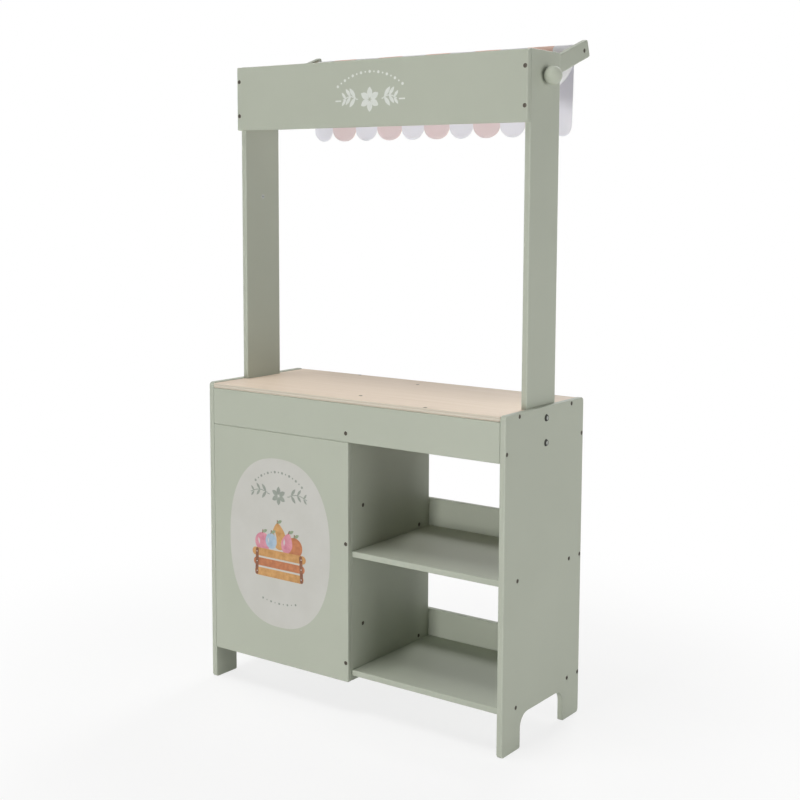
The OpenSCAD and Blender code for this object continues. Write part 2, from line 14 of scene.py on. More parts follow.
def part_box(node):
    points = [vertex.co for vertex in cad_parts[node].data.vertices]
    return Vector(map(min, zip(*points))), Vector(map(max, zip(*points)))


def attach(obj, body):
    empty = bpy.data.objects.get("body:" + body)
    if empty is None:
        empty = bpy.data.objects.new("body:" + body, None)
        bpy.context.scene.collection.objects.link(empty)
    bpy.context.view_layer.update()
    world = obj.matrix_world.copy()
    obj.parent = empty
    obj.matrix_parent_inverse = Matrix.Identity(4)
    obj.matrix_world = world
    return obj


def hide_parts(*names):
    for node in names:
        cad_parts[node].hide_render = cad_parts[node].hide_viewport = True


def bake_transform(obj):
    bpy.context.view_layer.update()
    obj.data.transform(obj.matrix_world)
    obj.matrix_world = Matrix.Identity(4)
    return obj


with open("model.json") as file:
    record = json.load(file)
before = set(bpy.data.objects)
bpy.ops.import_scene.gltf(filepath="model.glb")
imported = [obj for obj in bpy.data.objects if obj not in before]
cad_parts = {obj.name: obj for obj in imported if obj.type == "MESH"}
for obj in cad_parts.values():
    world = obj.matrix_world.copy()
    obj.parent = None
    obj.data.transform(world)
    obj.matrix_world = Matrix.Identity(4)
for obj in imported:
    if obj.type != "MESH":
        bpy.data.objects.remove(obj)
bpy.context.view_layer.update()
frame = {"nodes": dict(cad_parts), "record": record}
scene = bpy.context.scene

# Sizes are millimetres in the stall's own frame; MM turns them into Blender's metres.
MM = 0.001
# Setting of a Mix node that mixes two colours.
COLOURS = {"data_type": "RGBA"}
# Outlines of printed marks: how full a card is, how blunt a leaf, how thin a pear's neck.
CARD_POWER, LEAF_POWER, PEAR_NECK = 0.86, 0.45, 0.35
# Two or three numbers; a stitch's two ends; a lamp's name, place, size (metres) and watts.
Pair = tuple[float, float]
Triple = tuple[float, float, float]
Run = tuple[Vector, Vector]
Lamp = tuple[str, Triple, Pair, float]
log = logging.getLogger("market_stall")


class Body(Enum):
    """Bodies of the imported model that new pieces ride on."""

    STALL = "stall"
    AWNING = "awning"
    VALANCE = "valance"


class Slot(Enum):
    """Material slots of the record."""

    SAGE = "sage_paint"
    PLYWOOD = "birch_plywood"
    DARK_STEEL = "dark_steel"
    ZINC = "zinc_steel"
    BRASS = "brass"
    BEECH = "beech"
    CLOTH = "awning_cloth"
    TAPE = "hook_tape"


class Shape(Enum):
    """Outlines that the printed marks are cut from."""

    ROUND = "round"
    CARD = "card"
    LEAF = "leaf"
    PEAR = "pear"
    DASH = "dash"


def linear(hex_colour: str) -> tuple[float, float, float, float]:
    """Turns an sRGB hex colour into Blender's linear colour.

    Args:
        hex_colour: a colour such as "#B3B8A8".

    Returns:
        Linear red, green and blue, and an alpha of 1.
    """
    parts = [int(hex_colour[i:i + 2], 16) / 255 for i in (1, 3, 5)]
    lin = [c / 12.92 if c <= 0.04045 else ((c + 0.055) / 1.055) ** 2.4 for c in parts]
    return lin[0], lin[1], lin[2], 1.0


def fill(node: Node, **sockets: Any) -> None:
    """Fills a node's inputs.

    Args:
        node: the node.
        **sockets: inputs by name, with _ for a space, or as n0, n1, ... by number. An output
            socket is linked, a node is linked by its first output in use, a hex colour is made
            linear, and anything else is set as it is.
    """
    for key, value in sockets.items():
        numbered = key[0] == "n" and key[1:].isdigit()
        target = node.inputs[int(key[1:]) if numbered else key.replace("_", " ")]
        if isinstance(value, Node):
            value = next(output for output in value.outputs if output.enabled)
        if isinstance(value, NodeSocket):
            node.id_data.links.new(value, target)
        else:
            target.default_value = linear(value) if isinstance(value, str) else value


def add_node(tree: NodeTree, kind: str, settings: dict[str, Any] | None = None,
             **sockets: Any) -> Node:
    """Adds a node, sets its options and fills its inputs.

    Args:
        tree: the node tree that gets the node.
        kind: the node's type name without its first part, ShaderNode.
        settings: properties of the node itself.
        **sockets: its inputs, as fill takes them.

    Returns:
        The new node.
    """
    node = tree.nodes.new("ShaderNode" + kind)
    for key, value in (settings or {}).items():
        setattr(node, key, value)
    fill(node, **sockets)
    return node


def start_material(name: str) -> tuple[Material, NodeTree, Node]:
    """Makes a node material with one Principled shader.

    Args:
        name: the material's name.

    Returns:
        The material, its node tree and the shader.
    """
    material = bpy.data.materials.new(name)
    material.use_nodes = True
    tree = material.node_tree
    return material, tree, tree.nodes["Principled BSDF"]


def make_piece(bm: bmesh.types.BMesh, name: str, material: Material,
               smooth: bool = True) -> Object:
    """Writes a finished bmesh into a new object at the origin.

    Args:
        bm: the mesh, in metres in the stall's frame. It is freed.
        name: the piece's name.
        material: its finish.
        smooth: whether its faces are shaded smooth.

    Returns:
        The new object.
    """
    mesh = bpy.data.meshes.new(name)
    for face in bm.faces:
        face.smooth = smooth
    bm.to_mesh(mesh)
    bm.free()
    mesh.materials.append(material)
    piece = bpy.data.objects.new(name, mesh)
    scene.collection.objects.link(piece)
    log.info("%s: %d faces", name, len(mesh.polygons))
    return piece


@dataclass(frozen=True)
class SageLacquer:
    """Sage-green lacquer sprayed on fibreboard.

    It gives the eye a soft matt green with a faint orange peel, slow drifts of tone across a
    board, and paler eased edges, partly paint that runs thin and partly a painted highlight.
    """

    name: str = "sage_lacquer_on_fibreboard"
    colour: str = "#B5BAAB"
    drift: str = "#AEB3A4"
    # Colour of the eased edges: partly thin paint, partly a painted highlight.
    edge: str = "#C4C9BB"
    roughness: float = 0.50
    # Matt lacquer: fine grit in it takes most of the gloss away at low angles.
    gloss: float = 0.4
    peel_mm: float = 2.4
    drift_mm: float = 150.0
    edge_mm: float = 1.8

    def make(self) -> Material:
        """Builds the material.

        Returns:
            The finished material.
        """
        material, tree, shader = start_material(self.name)
        place = add_node(tree, "TexCoord").outputs["Object"]
        drift = add_node(tree, "TexNoise", Vector=place, Scale=1 / (self.drift_mm * MM), Detail=3.0)
        tone = add_node(tree, "Mix", COLOURS, Factor=drift, n6=self.colour, n7=self.drift)
        # The rounded normal also softens the two facets of each eased edge.
        rounded = add_node(tree, "Bevel", {"samples": 4}, Radius=self.edge_mm * MM)
        facing = add_node(tree, "NewGeometry").outputs["True Normal"]
        agree = add_node(tree, "VectorMath", {"operation": "DOT_PRODUCT"}, n0=rounded, n1=facing)
        # Paler eased edges: partly paint that runs thin, partly a painted highlight along each
        # edge.
        rim = add_node(tree, "MapRange", Value=agree, From_Min=0.995, From_Max=0.90, To_Max=0.75)
        paint = add_node(tree, "Mix", COLOURS, Factor=rim, n6=tone, n7=self.edge)
        peel = add_node(tree, "TexNoise", Vector=place, Scale=1 / (self.peel_mm * MM), Detail=2.0)
        sheen = add_node(tree, "MapRange", Value=peel, To_Min=self.roughness - 0.05,
                         To_Max=self.roughness + 0.07)
        bump = add_node(tree, "Bump", Strength=0.16, Distance=0.12 * MM, Height=peel,
                        Normal=rounded)
        fill(shader, Base_Color=paint, Roughness=sheen, Normal=bump, IOR=1.48,
             Specular_IOR_Level=self.gloss)
        return material


@dataclass(frozen=True)
class BirchPlywood:
    """Birch plywood under clear varnish, grain along the counter.

    It gives the eye a pale cream face with long fine streaks, and thin dark and light plies at
    its edges.
    """

    name: str = "birch_plywood_varnished"
    pale: str = "#E6D4C1"
    streak: str = "#DECBB4"
    pore: str = "#D2BCA1"
    end_grain: str = "#D0C8B8"
    cross_ply: str = "#C0B3A2"
    ply_mm: float = 2.0
    # Size of the streaks and pores along the grain, across it and through the board.
    streak_mm: Triple = (240.0, 5.0, 5.0)
    pore_mm: Triple = (26.0, 1.3, 1.3)

    def make(self) -> Material:
        """Builds the material.

        Returns:
            The finished material.
        """
        material, tree, shader = start_material(self.name)
        place = add_node(tree, "TexCoord").outputs["Object"]
        cells = [1 / (mm * MM) for mm in self.streak_mm]
        along = add_node(tree, "Mapping", Vector=place, Scale=cells)
        streaks = add_node(tree, "TexNoise", Vector=along, Scale=1.0, Detail=4.0, Roughness=0.6,
                           Distortion=0.5)
        wide = add_node(tree, "MapRange", Value=streaks, From_Min=0.35, From_Max=0.72)
        face = add_node(tree, "Mix", COLOURS, Factor=wide, n6=self.pale, n7=self.streak)
        cells = [1 / (mm * MM) for mm in self.pore_mm]
        short = add_node(tree, "Mapping", Vector=place, Scale=cells)
        pores = add_node(tree, "TexNoise", Vector=short, Scale=1.0, Detail=2.0)
        dark = add_node(tree, "MapRange", Value=pores, From_Min=0.60, From_Max=0.80, To_Max=0.45)
        grained = add_node(tree, "Mix", COLOURS, Factor=dark, n6=face, n7=self.pore)
        # Plies: every second layer shows its end grain, which is darker, on the edges only.
        level = add_node(tree, "SeparateXYZ", Vector=place).outputs["Z"]
        layers = add_node(tree, "Math", {"operation": "PINGPONG"}, n0=level, n1=self.ply_mm * MM)
        line = add_node(tree, "MapRange", Value=layers, From_Min=0.55 * self.ply_mm * MM,
                        From_Max=0.85 * self.ply_mm * MM)
        up = add_node(tree, "SeparateXYZ",
                      Vector=add_node(tree, "NewGeometry").outputs["True Normal"]).outputs["Z"]
        flat = add_node(tree, "Math", {"operation": "ABSOLUTE"}, n0=up)
        side = add_node(tree, "MapRange", Value=flat, From_Min=0.85, From_Max=0.6)
        plies = add_node(tree, "Mix", COLOURS, Factor=line, n6=self.end_grain, n7=self.cross_ply)
        wood = add_node(tree, "Mix", COLOURS, Factor=side, n6=grained, n7=plies)
        bump = add_node(tree, "Bump", Strength=0.12, Distance=0.1 * MM, Height=pores)
        sheen = add_node(tree, "MapRange", Value=streaks, To_Min=0.48, To_Max=0.62)
        fill(shader, Base_Color=wood, Roughness=sheen, Normal=bump, IOR=1.5)
        return material


@dataclass(frozen=True)
class TurnedBeech:
    """Beech turned into a dowel and left bare: warm tan with short dark flecks along the grain."""

    name: str = "beech_turned"
    pale: str = "#DDBD94"
    fleck: str = "#B98F63"
    fleck_mm: Triple = (9.0, 1.2, 1.2)

    def make(self) -> Material:
        """Builds the material.

        Returns:
            The finished material.
        """
        material, tree, shader = start_material(self.name)
        place = add_node(tree, "TexCoord").outputs["Object"]
        cells = [1 / (mm * MM) for mm in self.fleck_mm]
        along = add_node(tree, "Mapping", Vector=place, Scale=cells)
        flecks = add_node(tree, "TexNoise", Vector=along, Scale=1.0, Detail=3.0)
        mask = add_node(tree, "MapRange", Value=flecks, From_Min=0.48, From_Max=0.75)
        wood = add_node(tree, "Mix", COLOURS, Factor=mask, n6=self.pale, n7=self.fleck)
        bump = add_node(tree, "Bump", Strength=0.15, Distance=0.1 * MM, Height=flecks)
        fill(shader, Base_Color=wood, Normal=bump, Roughness=0.6)
        return material


@dataclass(frozen=True)
class PlatedMetal:
    """Plated or bare metal of fasteners: a dull gleam broken by fine scuffs from the driver."""

    name: str
    colour: str
    scuffed: str
    roughness: float
    scuff_mm: float = 1.1

    def make(self) -> Material:
        """Builds the material.

        Returns:
            The finished material.
        """
        material, tree, shader = start_material(self.name)
        place = add_node(tree, "TexCoord").outputs["Object"]
        scuffs = add_node(tree, "TexNoise", Vector=place, Scale=1 / (self.scuff_mm * MM),
                          Detail=4.0, Roughness=0.7)
        mask = add_node(tree, "MapRange", Value=scuffs, From_Min=0.5, From_Max=0.75)
        metal = add_node(tree, "Mix", COLOURS, Factor=mask, n6=self.colour, n7=self.scuffed)
        dull = add_node(tree, "MapRange", Value=scuffs, To_Min=self.roughness - 0.08,
                        To_Max=self.roughness + 0.12)
        bump = add_node(tree, "Bump", Strength=0.1, Distance=0.05 * MM, Height=scuffs)
        fill(shader, Base_Color=metal, Roughness=dull, Normal=bump, Metallic=1.0)
        return material


@dataclass(frozen=True)
class SocketBolts:
    """Steel bolts: a dark ring of painted shadow round a pale middle of painted highlight."""

    name: str = "steel_bolts_painted_shade_and_highlight"
    # Colours of the painted shadow ring and of the painted highlight in the middle.
    rim: str = "#3F403C"
    socket_highlight: str = "#C9CBC6"
    head_mm: float = 11.5
    socket_mm: float = 5.4
    ragged_mm: float = 1.2
    # Where the painted highlight ends and the painted shadow ring begins, outside the socket.
    band_mm: Pair = (0.2, 1.0)

    def make(self) -> Material:
        """Builds the material round the axes of the four bolts.

        Returns:
            The finished material.
        """
        material, tree, shader = start_material(self.name)
        low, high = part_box("post_bolts")
        half = (high.z - low.z - self.head_mm * MM) / 2
        place = add_node(tree, "SeparateXYZ", Vector=add_node(tree, "TexCoord").outputs["Object"])
        across = add_node(tree, "Math", {"operation": "SUBTRACT"}, n0=place.outputs["Y"],
                          n1=(low.y + high.y) / 2)
        level = add_node(tree, "Math", {"operation": "SUBTRACT"}, n0=place.outputs["Z"],
                         n1=(low.z + high.z) / 2)
        away = add_node(tree, "Math", {"operation": "ABSOLUTE"}, n0=level)
        rise = add_node(tree, "Math", {"operation": "SUBTRACT"}, n0=away, n1=half)
        spot = add_node(tree, "CombineXYZ", X=across, Y=rise)
        radius = add_node(tree, "VectorMath", {"operation": "LENGTH"}, n0=spot)
        patchy = add_node(tree, "TexNoise", Vector=spot, Scale=1 / (self.ragged_mm * MM), Detail=3.0)
        rough_edge = add_node(tree, "Math", {"operation": "MULTIPLY_ADD"}, n0=patchy,
                              n1=self.ragged_mm * MM, n2=radius)
        # The dark ring is painted shadow of the gap round each head; the pale middle a painted
        # highlight.
        ring = add_node(tree, "MapRange", Value=rough_edge,
                        From_Min=(self.socket_mm / 2 + self.band_mm[0]) * MM,
                        From_Max=(self.socket_mm / 2 + self.band_mm[1]) * MM)
        metal = add_node(tree, "Mix", COLOURS, Factor=ring, n6=self.socket_highlight, n7=self.rim)
        dull = add_node(tree, "MapRange", Value=patchy, To_Min=0.32, To_Max=0.52)
        fill(shader, Base_Color=metal, Roughness=dull, Metallic=1.0)
        return material


@dataclass(frozen=True)
class StripedCotton:
    """Plain-woven cotton dyed in broad stripes.

    It gives the eye chalky white and peach-pink stripes, a soft nap, threads that cross in a fine
    grid, and light that glows through from behind. The cloth map holds metres across and along
    the cloth.
    """

    name: str
    width_mm: float
    stripe_mm: float
    first_stripe_mm: float
    white: str = "#E9E9EC"
    pink: str = "#ECC6B5"
    faded: str = "#E2DCDC"
    fade_mm: float = 22.0
    # Real threads lie 0.5 mm apart; they are drawn 1.2 mm apart so that they show.
    thread_mm: float = 1.2
    # Share of the light that soaks into the cloth and comes out on its other face.
    glow: float = 0.7

    def make(self) -> Material:
        """Builds the material.

        Returns:
            The finished material.
        """
        material, tree, shader = start_material(self.name)
        cloth = add_node(tree, "UVMap", {"uv_map": "cloth"}).outputs["UV"]
        across = add_node(tree, "SeparateXYZ", Vector=cloth)
        patchy = add_node(tree, "TexNoise", Vector=cloth, Scale=1 / (self.fade_mm * MM), Detail=4.0)
        start = (self.first_stripe_mm - self.width_mm / 2) * MM
        moved = add_node(tree, "Math", {"operation": "SUBTRACT"}, n0=across.outputs["X"], n1=start)
        count = add_node(tree, "Math", {"operation": "DIVIDE"}, n0=moved, n1=self.stripe_mm * MM)
        index = add_node(tree, "Math", {"operation": "FLOOR"}, n0=count)
        odd = add_node(tree, "Math", {"operation": "FLOORED_MODULO"}, n0=index, n1=2.0)
        dye = add_node(tree, "Mix", COLOURS, Factor=odd, n6=self.pink, n7=self.white)
        pitch = pi / (self.thread_mm * MM)
        threads = add_node(tree, "Mapping", Vector=cloth, Scale=(pitch, pitch, 1.0))
        split = add_node(tree, "SeparateXYZ", Vector=threads)
        warp = add_node(tree, "Math", {"operation": "SINE"}, n0=split.outputs["X"])
        weft = add_node(tree, "Math", {"operation": "SINE"}, n0=split.outputs["Y"])
        weave = add_node(tree, "Math", {"operation": "MULTIPLY"}, n0=warp, n1=weft)
        faded = add_node(tree, "MapRange", Value=patchy, From_Min=0.3, From_Max=0.8, To_Max=0.10)
        tone = add_node(tree, "Mix", COLOURS, Factor=faded, n6=dye, n7=self.faded)
        shaded = add_node(tree, "MapRange", Value=weave, From_Min=-1.0, To_Min=0.95)
        colour = add_node(tree, "Mix", {"data_type": "RGBA", "blend_type": "MULTIPLY"}, n0=1.0,
                          n6=tone, n7=shaded)
        bump = add_node(tree, "Bump", Strength=0.25, Distance=0.2 * MM, Height=weave)
        fill(shader, Base_Color=colour, Normal=bump, Roughness=0.9, Sheen_Weight=0.2,
             Sheen_Roughness=0.5, Subsurface_Weight=self.glow, Subsurface_Radius=(1.6, 1.6, 1.7),
             Subsurface_Scale=1.6 * MM)
        return material


@dataclass(frozen=True)
class SewingThread:
    """Twisted polyester thread: a fine two-ply rope with a slight shine."""

    name: str = "sewing_thread"
    colour: str = "#ECEAE8"
    # Colour of the twist's hollows: painted shade.
    twist_shade: str = "#D6D3D0"
    twist_mm: float = 0.6

    def make(self) -> Material:
        """Builds the material.

        Returns:
            The finished material.
        """
        material, tree, shader = start_material(self.name)
        place = add_node(tree, "TexCoord").outputs["Object"]
        twist = add_node(tree, "TexNoise", Vector=place, Scale=1 / (self.twist_mm * MM))
        # Darker in patches that stand for the twist's hollows: painted shade.
        tone = add_node(tree, "Mix", COLOURS, Factor=twist, n6=self.twist_shade, n7=self.colour)
        fill(shader, Base_Color=tone, Roughness=0.6)
        return material


@dataclass(frozen=True)
class HookTape:
    """Woven nylon hook tape: off-white, with a nap of tiny hooks in rows."""

    name: str = "nylon_hook_tape"
    colour: str = "#E6E4DC"
    # Colour between the hooks: painted shade.
    gap_shade: str = "#C9C6BC"
    hooks_mm: float = 1.5

    def make(self) -> Material:
        """Builds the material.

        Returns:
            The finished material.
        """
        material, tree, shader = start_material(self.name)
        place = add_node(tree, "TexCoord").outputs["Object"]
        hooks = add_node(tree, "TexVoronoi", Vector=place, Scale=1 / (self.hooks_mm * MM),
                         Randomness=0.35)
        dots = add_node(tree, "MapRange", Value=hooks, From_Max=0.6)
        # Darker between the hooks: painted shade.
        tone = add_node(tree, "Mix", COLOURS, Factor=dots, n6=self.colour, n7=self.gap_shade)
        bump = add_node(tree, "Bump", {"invert": True}, Strength=0.5, Distance=0.4 * MM,
                        Height=hooks)
        fill(shader, Base_Color=tone, Normal=bump, Roughness=0.75)
        return material


@dataclass(frozen=True)
class PrintInk:
    """Screen-printed ink on the lacquer: flat colour that pools a little darker here and there."""

    name: str
    colour: str
    pooled: str
    wash_mm: float = 9.0
    peel_mm: float = 2.4
    roughness: float = 0.52
    gloss: float = 0.4

    def make(self) -> Material:
        """Builds the material.

        Returns:
            The finished material.
        """
        material, tree, shader = start_material(self.name)
        place = add_node(tree, "TexCoord").outputs["Object"]
        wash = add_node(tree, "TexNoise", Vector=place, Scale=1 / (self.wash_mm * MM), Detail=4.0,
                        Roughness=0.6)
        mask = add_node(tree, "MapRange", Value=wash, From_Min=0.35, From_Max=0.7)
        ink = add_node(tree, "Mix", COLOURS, Factor=mask, n6=self.colour, n7=self.pooled)
        peel = add_node(tree, "TexNoise", Vector=place, Scale=1 / (self.peel_mm * MM), Detail=2.0)
        bump = add_node(tree, "Bump", Strength=0.12, Distance=0.12 * MM, Height=peel)
        fill(shader, Base_Color=ink, Normal=bump, Roughness=self.roughness,
             Specular_IOR_Level=self.gloss)
        return material


class Ink(Enum):
    """Inks of the two prints."""

    CARD = PrintInk("ink_card_white", "#C6C5BF", "#C1C0B9", 60.0)
    WHITE = PrintInk("ink_soft_white", "#DDE0DA", "#D5D9D2")
    SLATE = PrintInk("ink_slate_green", "#979D93", "#8B9188")
    ROSE = PrintInk("ink_rose", "#D3939F", "#BF7689")
    RUST = PrintInk("ink_rust", "#C07D54", "#A66644")
    HONEY = PrintInk("ink_honey", "#CC9D64", "#B3834D")
    COCOA = PrintInk("ink_cocoa", "#8F6048", "#774C38")
    SKY = PrintInk("ink_sky", "#A9BCCB", "#93A9BB")
    MOSS = PrintInk("ink_moss", "#93A185", "#7F8F72")


@dataclass(frozen=True)
class Mark:
    """One printed mark on an upright board.

    Its middle lies x along the board and z above the print's centre, in millimetres. Its width
    and height are those before its turn, which is in degrees.
    """

    ink: Ink
    shape: Shape
    x: float
    z: float
    width: float
    height: float
    turn: float = 0.0

    def covers(self, other: "Mark") -> bool:
        """Tells whether the boxes round two marks overlap.

        Args:
            other: a mark of the same print.

        Returns:
            True where ink may lie on ink.
        """
        wide = high = 0.0
        for mark in (self, other):
            c, n = abs(cos(radians(mark.turn))), abs(sin(radians(mark.turn)))
            wide += (mark.width * c + mark.height * n) / 2
            high += (mark.width * n + mark.height * c) / 2
        return abs(self.x - other.x) < wide and abs(self.z - other.z) < high

    def build(self, bm: bmesh.types.BMesh, centre: Vector, film: float) -> None:
        """Adds the mark to a mesh as a film of ink that faces -Y.

        Args:
            bm: the mesh that gets the film.
            centre: the print's centre on the board's face, in metres.
            film: height of the ink above the board, in millimetres.
        """
        sides = 120 if self.width > 150 else 40 if self.width > 12 else 20
        verts = bmesh.ops.create_circle(bm, cap_ends=True, segments=sides, radius=0.5)["verts"]
        for v in verts:
            if self.shape is Shape.CARD:
                # Fuller than an ellipse: its quarters swell towards the corners.
                v.co.xy = [copysign(0.5 * abs(2 * c) ** CARD_POWER, c) for c in v.co.xy]
            elif self.shape is Shape.LEAF:
                v.co.x *= max(1 - (2 * v.co.y) ** 2, 0.0) ** LEAF_POWER
            elif self.shape is Shape.PEAR:
                v.co.x *= 1 - PEAR_NECK * max(2 * v.co.y + 0.15, 0.0) ** 1.3
            elif self.shape is Shape.DASH:
                corner = min(self.height / self.width, 1.0)
                v.co.x = copysign(0.5 * (1 - corner), v.co.x) * (abs(v.co.x) > 1e-6) \
                    + v.co.x * corner
        bmesh.ops.scale(bm, vec=(self.width * MM, self.height * MM, 1.0), verts=verts)
        for angle, axis in ((radians(self.turn), "Z"), (pi / 2, "X")):
            turned = Matrix.Rotation(angle, 3, axis)
            bmesh.ops.rotate(bm, cent=(0, 0, 0), matrix=turned, verts=verts)
        bmesh.ops.translate(bm, verts=verts, vec=centre + Vector((self.x, 0, self.z)) * MM)
        faces = list({f for v in verts for f in v.link_faces})
        grown = bmesh.ops.extrude_face_region(bm, geom=faces, use_keep_orig=True)
        tops = [g for g in grown["geom"] if isinstance(g, bmesh.types.BMVert)]
        bmesh.ops.translate(bm, verts=tops, vec=(0, -film * MM, 0))


@dataclass
class PrintedBoard:
    """A print on a board: its marks in the order in which they are printed, each over the last."""

    name: str
    node: str
    x: float
    z: float
    # Real ink is 0.03 mm thick; the lowest film is 0.1 mm proud, so that it can't flicker.
    lowest: float = 0.1
    film: float = 0.03
    overlap: float = 0.001
    marks: list[Mark] = field(default_factory=list)

    def add(self, ink: Ink, shape: Shape, x: float, z: float, width: float, height: float,
            turn: float = 0.0) -> None:
        """Adds one mark, as Mark describes it."""
        self.marks.append(Mark(ink, shape, x, z, width, height, turn))

    def arch_of_dots(self, ink: Ink, radius: float, rise: float, spread: float, count: int,
                     size: float) -> None:
        """Adds a row of dots along an arch.

        Args:
            ink: the dots' ink.
            radius: the arch's radius.
            rise: height of the arch's crown above the print's centre.
            spread: half of the angle that the arch spans, in degrees.
            count: number of dots.
            size: diameter of the middle dots; every second one is smaller.
        """
        for i in range(count):
            angle = radians(spread * (2 * i / (count - 1) - 1))
            d = size if i % 2 == 0 else 0.62 * size
            self.add(ink, Shape.ROUND, radius * sin(angle),
                     rise - radius * (1 - cos(angle)), d, d)

    def sprig(self, ink: Ink, z: float, reach: float, pairs: int, leaf: float) -> None:
        """Adds a level sprig: a blossom in the middle and leafy stems to both sides.

        Args:
            ink: the sprig's ink.
            z: height of its blossom above the print's centre.
            reach: length of each stem.
            pairs: pairs of leaves on each stem.
            leaf: length of the largest leaf.
        """
        petal, start, rise = 0.52 * leaf, 1.15 * leaf, 0.10 * reach
        run, pieces = reach - start, 2 * pairs + 2
        for turn in range(0, 360, 60):
            away = radians(turn)
            self.add(ink, Shape.LEAF, -petal * sin(away), z + petal * cos(away),
                     0.5 * leaf, 0.85 * leaf, turn)
        for side in (-1, 1):
            for k in range(pieces):
                t = (k + 0.5) / pieces
                self.add(ink, Shape.DASH, side * (start + t * run),
                         z + rise * sin(pi * t), 1.15 * run / pieces, 0.09 * leaf,
                         side * (12 - 34 * t))
            for k in range(pairs):
                t = (k + 0.7) / pairs
                x = side * (start + t * run * 0.94)
                stem = z + rise * sin(pi * t)
                size = leaf * (1 - 0.4 * t)
                for up in (-1, 1):
                    self.add(ink, Shape.LEAF, x + side * 0.22 * size, stem + up * 0.40 * size,
                             0.36 * size, size, -side * (90 - up * 52))

    def heights(self) -> list[float]:
        """Stacks the inks: each mark lies a film above any other ink under it.

        Returns:
            Each mark's height above the board, in millimetres.
        """
        levels: list[int] = []
        for place, mark in enumerate(self.marks):
            under = [level + (other.ink is not mark.ink)
                     for level, other in zip(levels, self.marks[:place]) if mark.covers(other)]
            levels.append(max(under, default=0))
        return [self.lowest + self.film * level + self.overlap * place
                for place, level in enumerate(levels)]

    def build(self) -> None:
        """Builds one piece for each ink, riding on the stall."""
        centre = Vector((self.x * MM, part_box(self.node)[0].y, self.z * MM))
        heights = self.heights()
        log.info("%s: ink up to %.2f mm proud", self.name, max(heights))
        for ink in dict.fromkeys(m.ink for m in self.marks):
            bm = bmesh.new()
            for mark, height in zip(self.marks, heights):
                if mark.ink is ink:
                    mark.build(bm, centre, height)
            bmesh.ops.recalc_face_normals(bm, faces=bm.faces)
            name = f"{self.name}_{ink.name.lower()}"
            piece = make_piece(bm, name, ink.value.make(), smooth=False)
            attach(piece, Body.STALL.value)


@dataclass
class OvalSign:
    """The pale oval on the front panel, with a crate of fruit under a sprig."""

    x: float = -143.0
    z: float = 264.0
    width: float = 221.0
    height: float = 290.0

    def build(self) -> None:
        """Builds the sign's prints."""
        board = PrintedBoard("oval_sign", "front_panel", self.x, self.z)
        board.add(Ink.CARD, Shape.CARD, 0, 0, self.width, self.height)
        board.arch_of_dots(Ink.SLATE, 78, 122, 41, 15, 4.6)
        board.sprig(Ink.SLATE, 82, 62, 3, 17)
        self.crate(board)
        board.arch_of_dots(Ink.SLATE, -150, -104, 14, 9, 4.0)
        board.build()

    @staticmethod
    def crate(board: PrintedBoard) -> None:
        """Adds a slatted crate heaped with round fruit and pears.

        Args:
            board: the print that gets the crate.
        """
        heap = (
            (Ink.ROSE, Shape.ROUND, -36, -2, 34, 33, 0), (Ink.HONEY, Shape.PEAR, 0, 12, 32, 46, 8),
            (Ink.RUST, Shape.ROUND, 34, -2, 35, 34, 0), (Ink.SKY, Shape.ROUND, -17, 2, 25, 27, 0),
            (Ink.ROSE, Shape.PEAR, 18, 3, 25, 36, -14),
        )
        for ink, shape, x, z, w, h, turn in heap:
            lean = radians(turn)
            tip_x, tip_z = x - 0.5 * h * sin(lean), z + 0.5 * h * cos(lean)
            board.add(ink, shape, x, z, w, h, turn)
            board.add(Ink.COCOA, Shape.DASH, tip_x, tip_z + 2, 7, 1.8, 78 + turn)
            board.add(Ink.MOSS, Shape.LEAF, tip_x + 5, tip_z + 3, 5.5, 12, -62)
            board.add(Ink.CARD, Shape.LEAF, x - 0.24 * w, z + 0.04 * h, 3.2, 0.34 * h, turn + 12)
        for k, ink in enumerate((Ink.HONEY, Ink.RUST, Ink.HONEY)):
            board.add(ink, Shape.DASH, 0, -20 - 17 * k, 118 - 5 * k, 14)
        for x in (-49, 49):
            board.add(Ink.COCOA, Shape.DASH, x, -37, 47, 6.5, 90 + 0.05 * x)
            for k in range(3):
                board.add(Ink.CARD, Shape.ROUND, x, -20 - 17 * k, 2.2, 2.2)


@dataclass
class HeaderEmblem:
    """The small white ornament on the header: a sprig under an arch of dots."""

    x: float = -3.0
    z: float = 1008.0

    def build(self) -> None:
        """Builds the emblem's print."""
        board = PrintedBoard("header_emblem", "header_board", self.x, self.z)
        board.arch_of_dots(Ink.WHITE, 108, 37, 37, 17, 4.8)
        board.sprig(Ink.WHITE, -7, 54, 3, 21)
        for side in (-1, 1):
            board.add(Ink.WHITE, Shape.DASH, side * 64, -8, 12, 2.4)
        board.build()


